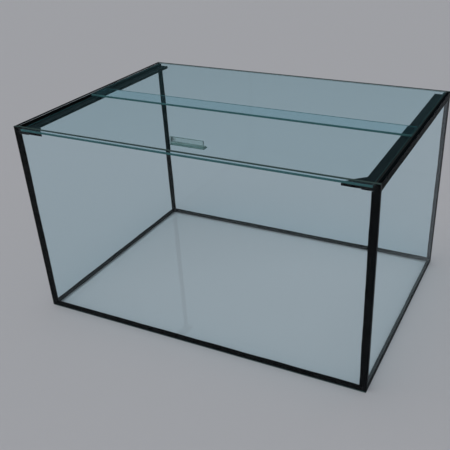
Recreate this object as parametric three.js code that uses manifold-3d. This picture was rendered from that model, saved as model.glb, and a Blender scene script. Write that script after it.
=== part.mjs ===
// All-glass hamster cage: five panes bonded with black silicone, and two cover glasses that slide
// on stepped runners. Millimetres, +Z up, the front faces -Y. The origin is under the middle of
// the base, on the surface that the cage stands on.
import * as THREE from 'three';
import { mergeVertices } from 'three/addons/utils/BufferGeometryUtils.js';
import Module from 'manifold-3d';

const wasm = await Module();
wasm.setup();

// Driving dimensions
const LENGTH = 700; // outside, along X
const DEPTH = 490; // outside, along Y
const HEIGHT = 400; // outside, to the rim of the walls
const GLASS = 6; // thickness of the walls and the base
const COVER_GLASS = 4; // thickness of the cover glasses
const ARRIS = 0.4; // flat ground along every glass edge
const BOND = 1; // thickness of a silicone joint
const FIT = 0.05; // room between two pieces that touch

const CORNER_BEAD = 8; // leg of the silicone bead in an upright corner
const BASE_BEAD = 6; // leg of the silicone bead round the base
const BEAD_LIP = 0.35; // thickness that a bead keeps at its edges
const BEAD_HOLLOW = 0.3; // 0 hollows a bead out fully, 0.5 leaves it flat
const BEAD_STEPS = 8;
const BEAD_GAP = 0.3; // between a bead and the next one, or the piece above it

const RUNNER_REACH = 23; // width of a runner, from its back to its inner edge
const RUNNER_FLOOR = 5; // thickness under the lower land
const RUNNER_WALL = 1.5; // thickness of the upright beside the cover
const UPPER_LAND = 4; // width of the step under the rear cover
const RUNNER_DROP = 0.5; // from the rim down to the top of a runner
const RUNNER_END_GAP = 0.5;

const COVER_DROP = 0.5; // from the rim down to the top of the rear cover, the upper one
const COVER_REST = 0.25; // under each cover, over what carries it
const COVER_STACK = 0.5; // between the two covers where they overlap
const COVER_SIDE_GAP = 0.5;
const COVER_END_GAP = 0.7; // from a cover to the front or rear pane
const FRONT_COVER_BACK = 23; // y of the front cover's rear edge
const REAR_COVER_FRONT = -26; // y of the rear cover's front edge

const PAD_LENGTH = 31.5; // leg of a corner pad along the front pane
const PAD_DEPTH = 28.5; // leg of a corner pad along the runner
const PAD_THICKNESS = 4;
const PAD_GAP = 0.3; // to the inner edge of the runner
const PAD_SETBACK = 0.8; // to the front pane, filled by the pad's bond
const PAD_BOND_INSET = 1;

const GRIP_LENGTH = 65; // the finger grip is a clear L strip
const GRIP_HEIGHT = 14; // of its upright flange
const GRIP_WALL = 3; // thickness of the upright flange
const GRIP_DEPTH = 11; // of its foot, from front to back
const GRIP_FOOT = 2; // thickness of the foot
const GRIP_FILLET = 2; // radius between the flange and the foot
const GRIP_ROUND = 0.8; // radius of its long edges
const GRIP_SETBACK = 38; // from the outside of the front pane to the grip
const GRIP_BOND = 0.5; // thickness of the clear silicone under the foot
const GRIP_BOND_MARGIN = 1.5; // what the clear silicone shows round the foot
const ROUND_SEGMENTS = 5; // in a quarter turn

// Derived places
const HALF_X = LENGTH / 2;
const HALF_Y = DEPTH / 2;
const INNER_X = HALF_X - GLASS; // inner face of a side pane
const INNER_Y = HALF_Y - GLASS; // inner face of the front or rear pane
const REAR_COVER_Z = HEIGHT - COVER_DROP - COVER_GLASS;
const FRONT_COVER_TOP = REAR_COVER_Z - COVER_STACK;
const FRONT_COVER_Z = FRONT_COVER_TOP - COVER_GLASS;
const UPPER_LAND_Z = REAR_COVER_Z - COVER_REST;
const LOWER_LAND_Z = FRONT_COVER_Z - COVER_REST;
const RUNNER_Z = LOWER_LAND_Z - RUNNER_FLOOR;
const RUNNER_BACK = INNER_X - BOND;
const RUNNER_INNER = RUNNER_BACK - RUNNER_REACH;
const STEP_X = RUNNER_BACK - RUNNER_WALL - UPPER_LAND; // inner end of the upper land
const COVER_Y = INNER_Y - COVER_END_GAP;

const glassMaterial = new THREE.MeshStandardMaterial({
  color: 0xb9d6d2, roughness: 0.03, metalness: 0, transparent: true, opacity: 0.3,
});
const coverMaterial = new THREE.MeshStandardMaterial({
  color: 0xa4cdc6, roughness: 0.03, metalness: 0, transparent: true, opacity: 0.35,
});
const siliconeMaterial = new THREE.MeshStandardMaterial({ color: 0x0b0c0d, roughness: 0.45, metalness: 0 });
const runnerMaterial = new THREE.MeshStandardMaterial({ color: 0x0d0e10, roughness: 0.35, metalness: 0 });
const gripMaterial = new THREE.MeshStandardMaterial({
  color: 0xb4cfc8, roughness: 0.1, metalness: 0, transparent: true, opacity: 0.45,
});
const clearSiliconeMaterial = new THREE.MeshStandardMaterial({
  color: 0xc6d6d3, roughness: 0.3, metalness: 0, transparent: true, opacity: 0.6,
});

const cage = new THREE.Group();

function addPiece(name, geometry, material) {
  const mesh = new THREE.Mesh(geometry, material);
  mesh.name = name;
  cage.add(mesh);
  return mesh;
}

function outline(points) {
  return new THREE.Shape(points.map(([x, y]) => new THREE.Vector2(x, y)));
}

// A shape lying in XY, from z = 0 up to its thickness, with ground edges. The shape is its
// largest section.
function groundShape(shape, thickness) {
  const geometry = new THREE.ExtrudeGeometry(shape, {
    depth: thickness - 2 * ARRIS,
    bevelEnabled: true,
    bevelThickness: ARRIS,
    bevelSize: ARRIS,
    bevelOffset: -ARRIS,
    bevelSegments: 1,
    curveSegments: ROUND_SEGMENTS,
  });
  return geometry.translate(0, 0, ARRIS);
}

function plate(points, thickness) {
  return groundShape(outline(points), thickness);
}

function rectangle(x0, x1, y0, y1) {
  return [[x0, y0], [x1, y0], [x1, y1], [x0, y1]];
}

function prism(points, z0, z1) {
  const geometry = new THREE.ExtrudeGeometry(outline(points), { depth: z1 - z0, bevelEnabled: false });
  return geometry.translate(0, 0, z0);
}

function block(x0, x1, y0, y1, z0, z1) {
  const geometry = new THREE.BoxGeometry(x1 - x0, y1 - y0, z1 - z0);
  return geometry.translate((x0 + x1) / 2, (y0 + y1) / 2, (z0 + z1) / 2);
}

function toSolid(geometry) {
  const bare = geometry.clone();
  bare.deleteAttribute('normal');
  bare.deleteAttribute('uv');
  const merged = mergeVertices(bare);
  return new wasm.Manifold(new wasm.Mesh({
    numProp: 3,
    vertProperties: new Float32Array(merged.attributes.position.array),
    triVerts: new Uint32Array(merged.index.array),
  }));
}

function join(a, b) {
  const mesh = toSolid(a).add(toSolid(b)).getMesh();
  const geometry = new THREE.BufferGeometry();
  geometry.setAttribute('position', new THREE.BufferAttribute(new Float32Array(mesh.vertProperties), 3));
  geometry.setIndex(new THREE.BufferAttribute(new Uint32Array(mesh.triVerts), 1));
  return geometry;
}

// The hollow face of a tooled bead, from [leg, lip] on the first surface to [lip, leg] on the second.
function beadFace(leg) {
  const middle = leg * BEAD_HOLLOW;
  const curve = new THREE.QuadraticBezierCurve(
    new THREE.Vector2(leg, BEAD_LIP),
    new THREE.Vector2(middle, middle),
    new THREE.Vector2(BEAD_LIP, leg),
  );
  return curve.getPoints(BEAD_STEPS).map((point) => [point.x, point.y]);
}

// The base lies on the ground surface, inside the four walls.
function addBasePane() {
  const x = INNER_X - BOND;
  const y = INNER_Y - BOND;
  addPiece('base_pane', plate(rectangle(-x, x, -y, y), GLASS), glassMaterial);
}

// The front and rear panes run the full length and cover the ends of the side panes.
function addWalls() {
  const wide = rectangle(-HALF_X, HALF_X, 0, HEIGHT);
  for (const [name, y] of [['front_pane', -INNER_Y], ['rear_pane', HALF_Y]]) {
    const pane = addPiece(name, plate(wide, GLASS), glassMaterial);
    pane.rotation.x = Math.PI / 2;
    pane.position.y = y;
  }
  const end = INNER_Y - BOND;
  for (const [name, x] of [['left_pane', -INNER_X], ['right_pane', HALF_X]]) {
    const pane = addPiece(name, plate(rectangle(0, HEIGHT, -end, end), GLASS), glassMaterial);
    pane.rotation.y = -Math.PI / 2;
    pane.position.x = x;
  }
}

// An upright seam: the joint between the end of a side pane and the pane across it, with a tooled
// bead in the corner inside. sideX and sideY are the signs of the corner.
function addCornerSeam(name, sideX, sideY) {
  const place = ([inward, away]) => [sideX * (HALF_X - inward), sideY * (INNER_Y - away)];
  const joint = rectangle(0, GLASS, FIT, BOND - FIT).map(place);
  const corner = GLASS + FIT;
  const root = GLASS - BOND; // how far the bead reaches into the joint
  const face = beadFace(CORNER_BEAD).map(([u, v]) => [corner + u, FIT + v]);
  const bead = [
    [root, FIT], [corner + CORNER_BEAD, FIT], ...face,
    [corner, FIT + CORNER_BEAD], [corner, BOND - FIT], [root, BOND - FIT],
  ];
  const beadFoot = GLASS + BASE_BEAD + BEAD_GAP;
  const beadTop = RUNNER_Z - BEAD_GAP;
  const seam = join(prism(joint, 0, HEIGHT), prism(bead.map(place), beadFoot, beadTop));
  addPiece(name, seam, siliconeMaterial);
}

// A base seam along one wall, mitred to its neighbours. It is made along X against a wall at
// y = -wall and turned to its place about Z.
function addBaseSeam(name, wall, halfLength, quarterTurns) {
  const top = GLASS + FIT;
  const face = beadFace(BASE_BEAD).map(([u, v]) => [FIT + u + (BOND - FIT) * (u / BASE_BEAD), top + v]);
  const section = [
    [FIT, 0], [BOND - FIT, 0], [BOND - FIT, top], [BOND + BASE_BEAD, top], ...face, [FIT, top + BASE_BEAD],
  ];
  const geometry = new THREE.ExtrudeGeometry(outline(section), { depth: 1, bevelEnabled: false });
  const position = geometry.attributes.position;
  for (let i = 0; i < position.count; i += 1) {
    const inward = position.getX(i);
    const up = position.getY(i);
    const end = position.getZ(i) > 0.5 ? 1 : -1;
    position.setXYZ(i, end * (halfLength - inward - BEAD_GAP / 2), inward - wall, up);
  }
  const seam = addPiece(name, geometry, siliconeMaterial);
  seam.rotation.z = (quarterTurns * Math.PI) / 2;
}

// A runner: a stepped strip with an upper land for the rear cover and a lower land for the front
// one, held to the side pane by its bond.
function addRunner(side, sign) {
  const wallX = RUNNER_BACK - RUNNER_WALL;
  const top = HEIGHT - RUNNER_DROP;
  const section = [
    [RUNNER_BACK, RUNNER_Z], [RUNNER_INNER, RUNNER_Z], [RUNNER_INNER, LOWER_LAND_Z],
    [STEP_X, LOWER_LAND_Z], [STEP_X, UPPER_LAND_Z], [wallX, UPPER_LAND_Z],
    [wallX, top], [RUNNER_BACK, top],
  ].map(([x, z]) => [sign * x, z]);
  const half = INNER_Y - RUNNER_END_GAP;
  const runner = addPiece(`${side}_runner`, prism(section, -half, half), runnerMaterial);
  runner.rotation.x = Math.PI / 2;
  const faces = [sign * (RUNNER_BACK + FIT), sign * (INNER_X - FIT)].sort((a, b) => a - b);
  const bond = block(...faces, -half, half, RUNNER_Z + BOND, top - BOND);
  addPiece(`${side}_runner_bond`, bond, siliconeMaterial);
}

// A triangular pad in a front corner, beside the runner and level with its lower land. Its bond
// holds it to the front pane, and it carries a corner of the front cover.
function addPad(side, sign) {
  const x = RUNNER_INNER - PAD_GAP;
  const y = -(INNER_Y - PAD_SETBACK);
  const points = [[x, y], [x - PAD_LENGTH, y], [x, y + PAD_DEPTH]].map(([px, py]) => [sign * px, py]);
  const bottom = LOWER_LAND_Z - PAD_THICKNESS;
  addPiece(`front_${side}_pad`, plate(points, PAD_THICKNESS), runnerMaterial).position.z = bottom;
  const ends = [sign * (x - PAD_LENGTH + PAD_BOND_INSET), sign * (x - PAD_BOND_INSET)].sort((a, b) => a - b);
  const bond = block(...ends, -(INNER_Y - FIT), y - FIT, bottom + ARRIS, LOWER_LAND_Z - ARRIS);
  addPiece(`front_${side}_pad_bond`, bond, siliconeMaterial);
}

// The rear cover is the upper one. The front cover slides under it, and carries the finger grip.
function addCovers() {
  const frontX = STEP_X - COVER_SIDE_GAP;
  const front = plate(rectangle(-frontX, frontX, -COVER_Y, FRONT_COVER_BACK), COVER_GLASS);
  addPiece('front_cover', front, coverMaterial).position.z = FRONT_COVER_Z;
  const rearX = RUNNER_BACK - RUNNER_WALL - COVER_SIDE_GAP;
  const rear = plate(rectangle(-rearX, rearX, REAR_COVER_FRONT, COVER_Y), COVER_GLASS);
  addPiece('rear_cover', rear, coverMaterial).position.z = REAR_COVER_Z;
}

// The section of the grip: x is the depth behind its front face, and y is the height.
function gripSection() {
  const section = new THREE.Shape();
  const quarter = Math.PI / 2;
  const rise = GRIP_HEIGHT - GRIP_ROUND;
  section.moveTo(0, 0);
  section.lineTo(GRIP_DEPTH, 0);
  section.absarc(GRIP_DEPTH - GRIP_ROUND, GRIP_FOOT - GRIP_ROUND, GRIP_ROUND, 0, quarter);
  section.absarc(GRIP_WALL + GRIP_FILLET, GRIP_FOOT + GRIP_FILLET, GRIP_FILLET, -quarter, -2 * quarter, true);
  section.absarc(GRIP_WALL - GRIP_ROUND, rise, GRIP_ROUND, 0, quarter);
  section.absarc(GRIP_ROUND, rise, GRIP_ROUND, quarter, 2 * quarter);
  return section;
}

// The bed of clear silicone under the foot is a rectangle with round corners.
function gripBed() {
  const bed = new THREE.Shape();
  const radius = 2 * GRIP_BOND_MARGIN;
  const x = GRIP_LENGTH / 2 + GRIP_BOND_MARGIN - radius;
  const y = GRIP_DEPTH / 2 + GRIP_BOND_MARGIN - radius;
  const corners = [[x, -y], [x, y], [-x, y], [-x, -y]];
  corners.forEach(([cx, cy], turn) => {
    bed.absarc(cx, cy, radius, ((turn - 1) * Math.PI) / 2, (turn * Math.PI) / 2);
  });
  return new THREE.ExtrudeGeometry(bed, {
    depth: GRIP_BOND, bevelEnabled: false, curveSegments: ROUND_SEGMENTS,
  });
}

// The grip is pulled and pushed with a finger tip, to slide the front cover.
function addGrip() {
  const front = -HALF_Y + GRIP_SETBACK;
  const bed = addPiece('grip_bond', gripBed(), clearSiliconeMaterial);
  bed.position.set(0, front + GRIP_DEPTH / 2, FRONT_COVER_TOP + FIT);
  const grip = addPiece('cover_grip', groundShape(gripSection(), GRIP_LENGTH), gripMaterial);
  grip.rotation.set(Math.PI / 2, Math.PI / 2, 0);
  grip.position.set(-GRIP_LENGTH / 2, front, FRONT_COVER_TOP + GRIP_BOND + 2 * FIT);
}

addBasePane();
addWalls();
for (const [end, sideY] of [['front', -1], ['rear', 1]]) {
  for (const [side, sideX] of [['left', -1], ['right', 1]]) {
    addCornerSeam(`${end}_${side}_seam`, sideX, sideY);
  }
}
addBaseSeam('front_base_seam', INNER_Y, INNER_X, 0);
addBaseSeam('right_base_seam', INNER_X, INNER_Y, 1);
addBaseSeam('rear_base_seam', INNER_Y, INNER_X, 2);
addBaseSeam('left_base_seam', INNER_X, INNER_Y, 3);
for (const [side, sign] of [['left', -1], ['right', 1]]) {
  addRunner(side, sign);
  addPad(side, sign);
}
addCovers();
addGrip();

export default cage;
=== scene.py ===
"""Looks of the all-glass hamster cage: glass, silicone, runners, grip, floor, light and camera."""

import math
import random

import bmesh
import bpy
from mathutils import Matrix, Vector


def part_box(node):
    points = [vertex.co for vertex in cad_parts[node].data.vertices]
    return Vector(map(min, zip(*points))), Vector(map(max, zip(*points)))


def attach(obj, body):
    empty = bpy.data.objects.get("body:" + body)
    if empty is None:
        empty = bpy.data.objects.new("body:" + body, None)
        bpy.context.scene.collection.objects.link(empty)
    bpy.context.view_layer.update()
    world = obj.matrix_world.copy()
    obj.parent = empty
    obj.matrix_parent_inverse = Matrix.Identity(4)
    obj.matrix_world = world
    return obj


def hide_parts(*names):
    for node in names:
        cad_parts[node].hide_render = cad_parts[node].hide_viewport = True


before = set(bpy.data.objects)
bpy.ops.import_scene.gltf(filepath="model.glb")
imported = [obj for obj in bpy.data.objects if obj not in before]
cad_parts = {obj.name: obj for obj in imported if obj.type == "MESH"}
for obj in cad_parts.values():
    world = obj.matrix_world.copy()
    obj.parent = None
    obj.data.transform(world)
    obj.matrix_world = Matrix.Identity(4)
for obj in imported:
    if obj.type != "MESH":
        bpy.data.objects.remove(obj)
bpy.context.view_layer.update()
scene = bpy.context.scene

# Camera: where it stands, counted from the middle of the four walls
CAMERA_AZIMUTH = 26.32  # degrees round from the front, towards the right side
CAMERA_ELEVATION = 30.79  # degrees above the horizon
CAMERA_ROLL = -1.84  # degrees
CAMERA_DISTANCE = 1.3895  # metres along the line of sight
CAMERA_ASIDE = 0.0322  # metres to its own right
CAMERA_RISE = -0.1225  # metres along its own upright
CAMERA_LENS = 53.2  # millimetres
SENSOR_WIDTH = 36  # millimetres
CAMERA_SHIFT = (-0.08, 0.0778)  # shares of the picture's width
CLIP = (0.05, 60)  # metres: the nearest and the farthest that shows

MM = 0.001
ARRIS = 0.4 * MM  # flat ground along the glass edges
SINK = 0.03 * MM  # silicone reaches this far into the glass face it is bonded to
LIP = 0.15 * MM  # thickness of a tooled bead at its edges
HOLLOW = 0.3  # 0 hollows a bead out fully, 0.5 leaves it flat
COVE_STEPS = 8
CORNER_LEG = 8 * MM
BASE_LEG = 6 * MM
JOINT_LEG = 1.6 * MM  # what is pressed out of a joint that has no bead
RUNNER_LEG = 1.5 * MM  # what is pressed out under a runner
BEAD_STEP = 4 * MM  # between two sections of a bead
BEAD_DROP = 0.4 * MM  # from the runners down to the top of a corner bead
BEAD_FOOT, BEAD_HEAD = 0.2 * MM, 0.3 * MM  # a corner bead swells and shrinks over these heights
JOINT_DROP = 0.3 * MM  # from the rim or a runner's top down to the silicone behind it
TOP_STRAY = 0.4  # how far a runner bed's top strays, against its underside
PAD_BED_POWER = 8  # the higher, the squarer the rounded ends of a pad's bed
PAD_BED_END = 0.04  # square of its height at the very end, against the middle
PAD_BED_STRAY = 0.5  # how far its edges stray, against other beads
PAD_BED_TAPER = 0.8  # its height at the pad, against that at the pane

GRIP_WALL, GRIP_FOOT, GRIP_FILLET, GRIP_ROUND = 3 * MM, 2 * MM, 2 * MM, 0.8 * MM
GRIP_SOFTNESS, RUNNER_SOFTNESS = 0.3 * MM, 0.35 * MM  # width of the bevel on sharp edges
SOFTENED_ANGLE = 40  # degrees: sharper edges than this are bevelled
SHARP_ANGLE = 35  # degrees: sharper edges than this stay sharp in a loft
BED_FINE = 0.3 * MM  # the grip's bed is even, and its corners stay this round, inside this margin

# Waves of an uneven line, slow and quick: radians per metre, and their share of its size
WAVES = (((20, 60), 0.6), ((140, 320), 0.2))
# Random seed, or the first of several, and how far the line strays
CORNER_STRAY, BASE_STRAY, RUNNER_STRAY = (10, 0.35 * MM), (20, 0.3 * MM), (30, 0.4 * MM)
PAD_STRAY, GRIP_STRAY = (40, 0.3 * MM), (50, 0.25 * MM)

# Clear pieces
# mirror: power of the Fresnel share, above 1 for less mirror than bare glass
# face: what is left of each colour where light crosses the surface
# left, density: the colour that the inside lets pass, and how soon, per metre
# the last two keys: colour and share of a diffuse layer that scatters light, on a pane only at its ground
# edges,
#     with the colour of the rim first and then that of the other edges; on the panes this layer is painted
#     shade
# Painted edge shade: the panes' ground edges get these near-black and dark green colours in place of the
# dark look that light through the glass gives them
PAINTED_BLACK_EDGE, PAINTED_GREEN_EDGE = (0.004, 0.006, 0.007), (0.065, 0.105, 0.1)
GLASS_IOR = 1.52
SIDE_GLASS = {
    "mirror": 3,
    "face": (0.955, 0.989, 1),
    "left": (0, 0.78, 0.97),
    "density": 6,
    "frost_and_painted_shade": (PAINTED_BLACK_EDGE, PAINTED_BLACK_EDGE),
    "frost_and_shade_share": 0.97,
}
END_GLASS = {**SIDE_GLASS, "mirror": 1.5, "frost_and_painted_shade": (PAINTED_GREEN_EDGE, PAINTED_BLACK_EDGE), "frost_and_shade_share": 0.9}
BASE_GLASS = {**END_GLASS, "mirror": 1.25, "face": (1, 1, 1), "density": 1.5}
COVER_GLASS = {
    "mirror": 2,
    "face": (0.92, 0.974, 0.988),
    "left": (0, 0.75, 0.96),
    "density": 15,
    # painted shade on the cover edges: dark green on the rim and a paler teal on the other edges
    "frost_and_painted_shade": (PAINTED_GREEN_EDGE, (0.09, 0.23, 0.235)),
    "frost_and_shade_share": 0.85,
}
GRIP_CLEAR = {
    "mirror": 1.5,
    "face": (0.98, 0.99, 0.985),
    "left": (0.4, 0.8, 0.7),
    "density": 40,
    "frost_and_painted_shade": (0.26, 0.36, 0.36),
    "frost_and_shade_share": 0.12,
    "ior": 1.49,
    "roughness": (0.06, 0.12),
    "bump": 0.05,
}
BED_CLEAR = {
    **GRIP_CLEAR,
    "left": (0.1, 0.75, 0.7),
    "density": 120,
    "frost_and_painted_shade": (0.06, 0.16, 0.16),
    "frost_and_shade_share": 0.25,
    "ior": 1.41,
    "roughness": (0.1, 0.22),
    "bump": 0.3,
}
DUST_SCALE, DUST_ROUGHNESS = 9.0, (0.0, 0.03)  # the film on clear glass
GROUND_SCALE, GROUND_ROUGHNESS = 600.0, (0.08, 0.16)  # its ground edges
MOULDED_SCALE = 260.0
FACING = 0.9  # a normal's share along an axis, from which its face counts as lying across that axis

# Opaque pieces. vary: how far the shade strays. scale, stretch, bump: of the grain
RUNNER_PLASTIC = {
    "color": (0.004, 0.0045, 0.005),
    "vary": 0.3,
    "roughness": (0.3, 0.45),
    "scale": 900.0,
    "bump": 0.25,
    "stretch": (1, 0.02, 1),
    "gloss": 0.1,
}
EXPOSED_SILICONE = {
    "color": (0.005, 0.0055, 0.006),
    "vary": 0.25,
    "roughness": (0.3, 0.42),
    "scale": 220.0,
    "bump": 0.35,
    "gloss": 0.25,
}
BONDED_SILICONE = {
    "color": (0.004, 0.0045, 0.005),
    "vary": 0.5,
    "roughness": (0.6, 0.8),
    "scale": 160.0,
    "bump": 0.1,
    "gloss": 0.0,
}
NOISE_RANGE = (0.3, 0.7)  # where nearly all of the noise lies
NOISE_DETAIL = 3.0
SHADE_SCALE = 0.3  # scale of the shade, against that of the grain
BUMP_DEPTH = 0.2 * MM

# Floor, room and lamp
FLOOR_LEVEL, FLOOR_RADIUS, FLOOR_CORNERS = -0.5 * MM, 9.0, 96
FLOOR_COLOR, FLOOR_ROUGHNESS = (0.62, 0.625, 0.65), 0.85
ROOM_COLOR = (0.345, 0.35, 0.367)
MIRRORED_WALLS = (0.05, 0.1, 0.11)  # what mirrors see of the room near the horizon
MIRRORED_CEILING = (0.5, 0.52, 0.55)  # and overhead
CEILING_EDGE = (25, 32)  # degrees above the horizon
LAMP_STRENGTH, LAMP_COLOR = 0.66, (1.0, 0.99, 0.97)
LAMP_SIZE = 60  # degrees across
LAMP_DIRECTION = (0.25, 0.2, -1)
BOUNCES, TRANSPARENT_BOUNCES = 24, 32  # enough for rays that pass many panes

EXPOSED, BONDED = 0, 1  # material slots of a silicone piece


def adder(tree):
    """A short way to add a node: values are set and sockets are linked. i0, i1 name inputs by number."""

    def add(kind, settings=None, **inputs):
        node = tree.nodes.new(kind)
        for key, value in (settings or {}).items():
            setattr(node, key, value)
        for key, value in inputs.items():
            place = int(key[1:]) if key[0] == "i" and key[1:].isdigit() else key.replace("_", " ")
            if isinstance(value, bpy.types.NodeSocket):
                tree.links.new(value, node.inputs[place])
            else:
                node.inputs[place].default_value = value
        return node

    return add


def new_material(name):
    material = bpy.data.materials.new(name)
    material.use_nodes = True
    material.node_tree.nodes.clear()
    return material, adder(material.node_tree)


def noise(add, scale, low, high, stretch=(1, 1, 1)):
    """Noise in the object's own coordinates, and the same noise spread from low to high."""
    coordinates = add("ShaderNodeTexCoord")
    mapping = add("ShaderNodeMapping", i0=coordinates.outputs["Object"], Scale=stretch)
    grain = add("ShaderNodeTexNoise", i0=mapping.outputs[0], Scale=scale, Detail=NOISE_DETAIL)
    spread = add(
        "ShaderNodeMapRange",
        Value=grain.outputs["Fac"],
        From_Min=NOISE_RANGE[0],
        From_Max=NOISE_RANGE[1],
        To_Min=low,
        To_Max=high,
    )
    return grain.outputs["Fac"], spread.outputs[0]


def clear_body(add, look, roughness, ior, normal=None):
    """A shader that refracts, and mirrors as much as the look says."""
    extra = {"Normal": normal} if normal else {}
    bend = add("ShaderNodeBsdfRefraction", Color=(*look["face"], 1), Roughness=roughness, IOR=ior, **extra)
    mirror = add("ShaderNodeBsdfGlossy", Color=(1, 1, 1, 1), Roughness=roughness, **extra)
    fresnel = add("ShaderNodeFresnel", IOR=ior, **extra)
    share = add("ShaderNodeMath", {"operation": "POWER"}, i0=fresnel.outputs[0], i1=look["mirror"])
    return add("ShaderNodeMixShader", i0=share.outputs[0], i1=bend.outputs[0], i2=mirror.outputs[0])


def clear_output(add, look, clear, frost_and_painted_shade, frost_and_shade_share):
    """A diffuse layer over the clear body, which on the panes' ground edges is painted shade, and absorption
    in it. Light on its way to other things passes straight.
    """
    # on the panes' ground edges this diffuse colour is painted shade, near black or dark green
    haze_and_shade = add("ShaderNodeBsdfDiffuse", Color=frost_and_painted_shade)
    body = add("ShaderNodeMixShader", i0=frost_and_shade_share, i1=clear.outputs[0], i2=haze_and_shade.outputs[0])
    through = add("ShaderNodeBsdfTransparent", Color=(1, 1, 1, 1))
    path = add("ShaderNodeLightPath")
    light = add(
        "ShaderNodeMath",
        {"operation": "MAXIMUM"},
        i0=path.outputs["Is Shadow Ray"],
        i1=path.outputs["Is Diffuse Ray"],
    )
    surface = add("ShaderNodeMixShader", i0=light.outputs[0], i1=body.outputs[0], i2=through.outputs[0])
    volume = add("ShaderNodeVolumeAbsorption", Color=(*look["left"], 1), Density=look["density"])
    add("ShaderNodeOutputMaterial", Surface=surface.outputs[0], Volume=volume.outputs[0])


def glass_material(name, axis, look):
    """Float glass with a faint film of dust. Only the two faces that the axis runs through are clear;
    its ground edges are nearly covered with painted shade, a dark diffuse colour.
    """
    material, add = new_material(name)
    geometry = add("ShaderNodeNewGeometry")
    split = add("ShaderNodeSeparateXYZ", i0=geometry.outputs["True Normal"])

    def faces_along(direction):
        size = add("ShaderNodeMath", {"operation": "ABSOLUTE"}, i0=split.outputs[direction])
        return add("ShaderNodeMath", {"operation": "GREATER_THAN"}, i0=size.outputs[0], i1=FACING).outputs[0]

    edge = add("ShaderNodeMath", {"operation": "SUBTRACT"}, i0=1, i1=faces_along(axis))
    _, film = noise(add, DUST_SCALE, *DUST_ROUGHNESS)
    _, ground = noise(add, GROUND_SCALE, *GROUND_ROUGHNESS)
    rough = add("ShaderNodeMath", {"operation": "MULTIPLY_ADD"}, i0=edge.outputs[0], i1=ground, i2=film)
    # Painted shade: the ground edges are nearly covered with a dark diffuse colour, the rim's and the other
    # edges'
    rim, others = ((*color, 1) for color in look["frost_and_painted_shade"])
    frost_and_painted_shade = add("ShaderNodeMix", {"data_type": "RGBA"}, i0=faces_along(2), i6=others, i7=rim)
    frost_and_shade_share = add("ShaderNodeMath", {"operation": "MULTIPLY"}, i0=edge.outputs[0], i1=look["frost_and_shade_share"])
    clear = clear_body(add, look, rough.outputs[0], GLASS_IOR)
    clear_output(add, look, clear, frost_and_painted_shade.outputs[2], frost_and_shade_share.outputs[0])
    return material


def moulded_clear(name, look):
    """Clear plastic or silicone: slightly uneven, so what is behind it is bent and a little soft."""
    material, add = new_material(name)
    height, rough = noise(add, MOULDED_SCALE, *look["roughness"])
    uneven = add("ShaderNodeBump", Strength=look["bump"], Distance=BUMP_DEPTH, Height=height)
    clear = clear_body(add, look, rough, look["ior"], uneven.outputs[0])
    clear_output(add, look, clear, (*look["frost_and_painted_shade"], 1), look["frost_and_shade_share"])
    return material


def dull_material(name, color, vary, roughness, scale, bump, gloss, stretch=(1, 1, 1)):
    """An opaque surface with a fine grain in its colour, its roughness and its height."""
    material, add = new_material(name)
    height, rough = noise(add, scale, *roughness, stretch)
    _, shade = noise(add, scale * SHADE_SCALE, 1 - vary, 1 + vary, stretch)
    tone = add("ShaderNodeVectorMath", {"operation": "SCALE"}, i0=color, Scale=shade)
    uneven = add("ShaderNodeBump", Strength=bump, Distance=BUMP_DEPTH, Height=height)
    body = add(
        "ShaderNodeBsdfPrincipled",
        Base_Color=tone.outputs[0],
        Roughness=rough,
        Specular_IOR_Level=gloss,
        Normal=uneven.outputs[0],
    )
    add("ShaderNodeOutputMaterial", Surface=body.outputs[0])
    return material


def dress(node, material):
    """Gives a CAD node its material."""
    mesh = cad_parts[node].data
    mesh.materials.clear()
    mesh.materials.append(material)


def soften_edges(piece, width):
    bevel = piece.modifiers.new("edges", "BEVEL")
    bevel.width = width
    bevel.segments = 2
    bevel.limit_method = "ANGLE"
    bevel.angle_limit = math.radians(SOFTENED_ANGLE)


def waviness(seed, size):
    """An uneven line: how far it strays, up to about size, at a place along it in metres."""
    draw = random.Random(seed)
    waves = [
        (draw.uniform(*pace), draw.uniform(0, math.tau), share) for pace, share in WAVES for _ in range(2)
    ]
    return lambda place: size * sum(share * math.sin(k * place + start) for k, start, share in waves)


def loft(name, rings, materials, bonded=()):
    """A closed mesh through rings of equal length. bonded lists the sides of the ring that touch glass."""
    count = len(rings[0])
    mesh = bpy.data.meshes.new(name)
    build = bmesh.new()
    rows = [[build.verts.new(point) for point in ring] for ring in rings]
    for low, high in zip(rows, rows[1:]):
        for side in range(count):
            after = (side + 1) % count
            face = build.faces.new((low[side], low[after], high[after], high[side]))
            face.material_index = BONDED if side in bonded else EXPOSED
    build.faces.new(reversed(rows[0]))
    build.faces.new(rows[-1])
    bmesh.ops.recalc_face_normals(build, faces=build.faces)
    build.to_mesh(mesh)
    build.free()
    for material in materials:
        mesh.materials.append(material)
    mesh.shade_smooth()
    mesh.set_sharp_from_angle(angle=math.radians(SHARP_ANGLE))
    piece = bpy.data.objects.new(name, mesh)
    scene.collection.objects.link(piece)
    return piece


def stand_for(piece, node, body):
    """The piece rides the body and shows in place of the CAD node."""
    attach(piece, body)
    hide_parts(node)


def places(start, end):
    """Evenly spaced places from start to end, about a bead step apart."""
    steps = max(2, round((end - start) / BEAD_STEP))
    return [start + (end - start) * i / steps for i in range(steps + 1)]


def cove(reach, rise, foot=(0, 0)):
    """The hollow face of a tooled bead, from its foot's far edge to the top of its rise."""
    start, middle, end = (reach, LIP), (reach * HOLLOW, rise * HOLLOW), (LIP, rise)
    points = []
    for i in range(COVE_STEPS + 1):
        t = i / COVE_STEPS
        blend = ((1 - t) ** 2, 2 * t * (1 - t), t * t)
        bend = [sum(b * p[axis] for b, p in zip(blend, (start, middle, end))) for axis in (0, 1)]
        points.append((foot[0] + bend[0], foot[1] + bend[1]))
    return points


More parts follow.
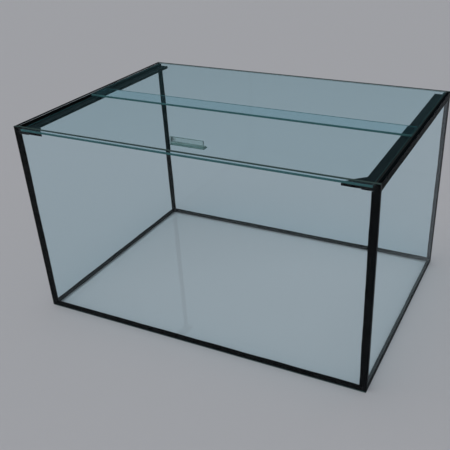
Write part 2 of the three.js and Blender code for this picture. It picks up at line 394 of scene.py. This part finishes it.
def corner_section(leg, glass, bond):
    """An upright seam from above: across is inward from the side pane, away is from the pane it meets."""
    outer = -glass + SINK
    points = [(outer, -ARRIS), (outer + ARRIS, -SINK), (leg, -SINK), *cove(leg, leg), (-SINK, leg)]
    points += [(-SINK, bond + ARRIS + SINK), (-ARRIS - SINK, bond + SINK)]
    points += [(outer + ARRIS, bond + SINK), (outer, bond + ARRIS)]
    return points


def base_section(leg, glass, bond):
    """A base seam across its length: inward from the wall, and up from the ground."""
    key = ARRIS + SINK
    points = [(-SINK, SINK), (bond + key, SINK), (bond + SINK, key), (bond + SINK, glass - key)]
    points += [(bond + key, glass - SINK), (bond + leg, glass - SINK)]
    return points + [*cove(bond + leg, leg, (0, glass)), (-SINK, glass + leg)]


def cage_sizes():
    """Inner faces of the walls, thickness of glass and joint, the rim, and the runners' underside."""
    side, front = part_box("right_pane"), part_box("front_pane")
    base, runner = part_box("base_pane"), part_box("right_runner")
    return {
        "x": side[0].x,
        "y": -front[1].y,
        "glass": side[1].x - side[0].x,
        "bond": side[0].x - base[1].x,
        "top": side[1].z,
        "runner": runner[0].z,
    }


def add_corner_seams(materials, sizes):
    glass, bond = sizes["glass"], sizes["bond"]
    seed, size = CORNER_STRAY
    sides = len(corner_section(CORNER_LEG, glass, bond))
    cove_end = 2 + COVE_STEPS + 1  # the last point of the hollow face
    bonded = [i for i in range(sides) if i < 2 or cove_end < i < sides - 1]
    for number, (end, sy) in enumerate((("front", -1), ("rear", 1))):
        for side, sx in (("left", -1), ("right", 1)):
            node = f"{end}_{side}_seam"
            stray = waviness(seed + 2 * number + sx, size)
            bead_top = sizes["runner"] - BEAD_DROP
            heights = [(SINK, JOINT_LEG), (glass - BEAD_FOOT, JOINT_LEG)]
            heights += [(z, CORNER_LEG + stray(z)) for z in places(glass, bead_top)]
            heights += [(bead_top + BEAD_HEAD, JOINT_LEG), (sizes["top"] - JOINT_DROP, JOINT_LEG)]
            rings = [
                [
                    (sx * (sizes["x"] - across), sy * (sizes["y"] - away), z)
                    for across, away in corner_section(leg, glass, bond)
                ]
                for z, leg in heights
            ]
            piece = loft(f"{node}_bead", rings, materials, bonded)
            stand_for(piece, node, "tank")


def add_base_seams(materials, sizes):
    glass, bond = sizes["glass"], sizes["bond"]
    seed, size = BASE_STRAY
    sides = len(base_section(BASE_LEG, glass, bond))
    bonded = [0, 1, 2, 3, 4, sides - 1]
    for turn, side in enumerate(("front", "right", "rear", "left")):
        wall, half = (sizes["y"], sizes["x"]) if turn % 2 == 0 else (sizes["x"], sizes["y"])
        stray = waviness(seed + turn, size)
        rotation = Matrix.Rotation(turn * math.pi / 2, 3, "Z")
        rings = [
            [
                rotation @ Vector((along, inward - wall, up))
                for inward, up in base_section(BASE_LEG + stray(along), glass, bond)
            ]
            for along in places(-half - SINK, half + SINK)
        ]
        piece = loft(f"{side}_base_seam_bead", rings, materials, bonded)
        stand_for(piece, f"{side}_base_seam", "tank")


def add_runner_bonds(materials, sizes):
    """The black bed behind each runner, which shows through the side pane."""
    seed, size = RUNNER_STRAY
    for number, (side, sx) in enumerate((("left", -1), ("right", 1))):
        node = f"{side}_runner_bond"
        low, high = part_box(f"{side}_runner")
        stray = waviness(seed + number, size)
        rings = []
        for y in places(low.y, high.y):
            leg = RUNNER_LEG + stray(y)
            top = high.z - JOINT_DROP + TOP_STRAY * stray(y + 1)
            under = [(inward, low.z - up) for inward, up in cove(sizes["bond"] + leg, leg)]
            section = [(-SINK, top), (sizes["bond"], top), (sizes["bond"], low.z - SINK)]
            section += [(sizes["bond"] + leg, low.z - SINK), *under, (-SINK, low.z - leg)]
            rings.append([(sx * (sizes["x"] - inward), y, z) for inward, z in section])
        bonded = [1, 2, len(rings[0]) - 1]
        piece = loft(f"{node}_bed", rings, materials, bonded)
        stand_for(piece, node, "tank")


def add_pad_bonds(materials, sizes):
    """The bed between a corner pad and the front pane, with rounded ends."""
    seed, size = PAD_STRAY
    for number, side in enumerate(("left", "right")):
        node = f"front_{side}_pad_bond"
        low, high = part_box(node)
        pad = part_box(f"front_{side}_pad")[0]
        stray = waviness(seed + number, size)
        middle, half = (low.z + high.z) / 2, (high.z - low.z) / 2
        rings = []
        for x in places(low.x, high.x):
            along = (2 * x - low.x - high.x) / (high.x - low.x)  # -1 to 1
            swell = math.sqrt(max(1 - along**PAD_BED_POWER, PAD_BED_END))
            tall = (half + PAD_BED_STRAY * stray(x)) * swell
            less = PAD_BED_TAPER * tall
            back = -sizes["y"] - SINK
            section = [(back, -tall), (pad.y, -less), (pad.y, less), (back, tall)]
            rings.append([(x, y, middle + z) for y, z in section])
        piece = loft(f"{node}_bed", rings, materials, [1, 3])
        stand_for(piece, node, "tank")


def arc(centre, radius, start, end, steps=6):
    """Points on an arc, with its angles in quarter turns."""
    angles = [(start + (end - start) * i / steps) * math.pi / 2 for i in range(steps + 1)]
    return [(centre[0] + radius * math.cos(a), centre[1] + radius * math.sin(a)) for a in angles]


def add_grip(plastic):
    """The finger grip: a clear L strip, its upright in front, with rounded edges and a soft root."""
    low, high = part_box("cover_grip")
    depth, height = high.y - low.y, high.z - low.z
    wall, foot, root, edge = GRIP_WALL, GRIP_FOOT, GRIP_FILLET, GRIP_ROUND
    section = [(0, 0), (depth, 0)]
    section += arc((depth - edge, foot - edge), edge, 0, 1)
    section += arc((wall + root, foot + root), root, -1, -2)
    section += arc((wall - edge, height - edge), edge, 0, 1)
    section += arc((edge, height - edge), edge, 1, 2)
    rings = [[(x, low.y + back, low.z + up) for back, up in section] for x in places(low.x, high.x)]
    grip = loft("cover_grip_strip", rings, [plastic])
    soften_edges(grip, GRIP_SOFTNESS)
    stand_for(grip, "cover_grip", "front_cover")


def even(_place):
    """A line that doesn't stray."""
    return 0.0


def rounded_outline(low, high, margin, radius, stray):
    """A rectangle with round corners, a margin outside the given one, pushed in and out a little."""
    middle, reach = (low + high) / 2, (high - low) / 2 + Vector((margin, margin, 0))
    points = []
    for turn, (sx, sy) in enumerate(((1, -1), (1, 1), (-1, 1), (-1, -1))):
        centre = (sx * (reach.x - radius), sy * (reach.y - radius))
        points += arc(centre, radius, turn - 1, turn, 8)
    return [
        (middle.x + x * (1 + stray(x + y) / reach.y), middle.y + y * (1 + stray(x - y) / reach.y))
        for x, y in points
    ]


def add_grip_bed(silicone):
    """The clear silicone that holds the grip, pressed out all round into a low fillet."""
    low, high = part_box("cover_grip")
    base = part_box("grip_bond")[0].z
    level = low.z - SINK  # underside of the grip
    stray = waviness(*GRIP_STRAY)
    profile = [(1.4 * MM, base), (1.1 * MM, base + 0.25 * MM), (0.5 * MM, level)]  # margin and height
    profile += [(0.12 * MM, level + 0.45 * MM), (SINK, level + 0.4 * MM), (SINK, level)]
    rings = []
    for margin, z in profile:
        line = stray if margin > BED_FINE else even
        outline = rounded_outline(low, high, margin, max(margin, BED_FINE), line)
        rings.append([(x, y, z) for x, y in outline])
    bed = loft("grip_bond_bed", rings, [silicone])
    stand_for(bed, "grip_bond", "front_cover")


def dress_glass():
    """Each pane's material knows the axis across the pane, so that it can tell its edges."""
    sides, ends = glass_material("side_glass", 0, SIDE_GLASS), glass_material("end_glass", 1, END_GLASS)
    for node in ("left_pane", "right_pane"):
        dress(node, sides)
    for node in ("front_pane", "rear_pane"):
        dress(node, ends)
    dress("base_pane", glass_material("base_glass", 2, BASE_GLASS))
    cover = glass_material("cover_glass", 2, COVER_GLASS)
    for node in ("front_cover", "rear_cover"):
        dress(node, cover)


def dress_runners():
    plastic = dull_material("runner_plastic", **RUNNER_PLASTIC)
    for side in ("left", "right"):
        for node in (f"{side}_runner", f"front_{side}_pad"):
            dress(node, plastic)
            soften_edges(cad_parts[node], RUNNER_SOFTNESS)


def add_silicone():
    exposed = dull_material("black_silicone", **EXPOSED_SILICONE)
    bonded = dull_material("bonded_silicone", **BONDED_SILICONE)
    materials, sizes = [exposed, bonded], cage_sizes()
    add_corner_seams(materials, sizes)
    add_base_seams(materials, sizes)
    add_runner_bonds(materials, sizes)
    add_pad_bonds(materials, sizes)


def add_floor():
    bpy.ops.mesh.primitive_circle_add(
        vertices=FLOOR_CORNERS, radius=FLOOR_RADIUS, fill_type="NGON", location=(0, 0, FLOOR_LEVEL)
    )
    floor = bpy.context.object
    floor.name = "floor"
    material, add = new_material("studio_floor")
    body = add("ShaderNodeBsdfPrincipled", Base_Color=(*FLOOR_COLOR, 1), Roughness=FLOOR_ROUGHNESS)
    add("ShaderNodeOutputMaterial", Surface=body.outputs[0])
    floor.data.materials.append(material)


def add_light():
    """An even pale room that mirrors see dimmed, and one broad soft lamp overhead."""
    world = bpy.data.worlds.new("studio")
    scene.world = world
    world.use_nodes = True
    world.node_tree.nodes.clear()
    add = adder(world.node_tree)
    path = add("ShaderNodeLightPath")
    mirrored = add("ShaderNodeMath", {"operation": "GREATER_THAN"}, i0=path.outputs["Glossy Depth"], i1=0.5)
    direction = add("ShaderNodeTexCoord")
    split = add("ShaderNodeSeparateXYZ", i0=direction.outputs["Generated"])
    low, high = (math.sin(math.radians(angle)) for angle in CEILING_EDGE)
    height = add("ShaderNodeMapRange", Value=split.outputs[2], From_Min=low, From_Max=high)
    pale = add("ShaderNodeBackground", Color=(*ROOM_COLOR, 1), Strength=1)
    walls = add("ShaderNodeBackground", Color=(*MIRRORED_WALLS, 1), Strength=1)
    ceiling = add("ShaderNodeBackground", Color=(*MIRRORED_CEILING, 1), Strength=1)
    room = add("ShaderNodeMixShader", i0=height.outputs[0], i1=walls.outputs[0], i2=ceiling.outputs[0])
    mix = add("ShaderNodeMixShader", i0=mirrored.outputs[0], i1=pale.outputs[0], i2=room.outputs[0])
    add("ShaderNodeOutputWorld", Surface=mix.outputs[0])
    data = bpy.data.lights.new("soft_lamp", "SUN")
    data.energy = LAMP_STRENGTH
    data.angle = math.radians(LAMP_SIZE)
    data.color = LAMP_COLOR
    lamp = bpy.data.objects.new("soft_lamp", data)
    scene.collection.objects.link(lamp)
    lamp.rotation_mode = "QUATERNION"
    lamp.rotation_quaternion = Vector(LAMP_DIRECTION).to_track_quat("-Z", "Y")


def add_camera():
    low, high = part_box("front_pane")[0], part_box("rear_pane")[1]
    centre = (low + high) / 2
    azimuth, elevation, roll = map(math.radians, (CAMERA_AZIMUTH, CAMERA_ELEVATION, CAMERA_ROLL))
    back = Vector(
        (
            math.sin(azimuth) * math.cos(elevation),
            -math.cos(azimuth) * math.cos(elevation),
            math.sin(elevation),
        )
    )
    level = (-back).cross(Vector((0, 0, 1))).normalized()
    upright = level.cross(-back)
    right = math.cos(roll) * level + math.sin(roll) * upright
    up = -math.sin(roll) * level + math.cos(roll) * upright
    data = bpy.data.cameras.new("camera")
    data.lens = CAMERA_LENS
    data.sensor_width = SENSOR_WIDTH
    data.shift_x, data.shift_y = CAMERA_SHIFT
    data.clip_start, data.clip_end = CLIP
    camera = bpy.data.objects.new("camera", data)
    scene.collection.objects.link(camera)
    turn = Matrix((right, up, back)).transposed().to_4x4()
    place = centre + back * CAMERA_DISTANCE + right * CAMERA_ASIDE + up * CAMERA_RISE
    camera.matrix_world = Matrix.Translation(place) @ turn
    scene.camera = camera


add_camera()
dress_glass()
dress_runners()
add_silicone()
add_grip(moulded_clear("grip_plastic", GRIP_CLEAR))
add_grip_bed(moulded_clear("clear_silicone", BED_CLEAR))
add_floor()
add_light()
scene.view_settings.view_transform = "Standard"
scene.cycles.max_bounces = BOUNCES
scene.cycles.transmission_bounces = BOUNCES
scene.cycles.transparent_max_bounces = TRANSPARENT_BOUNCES
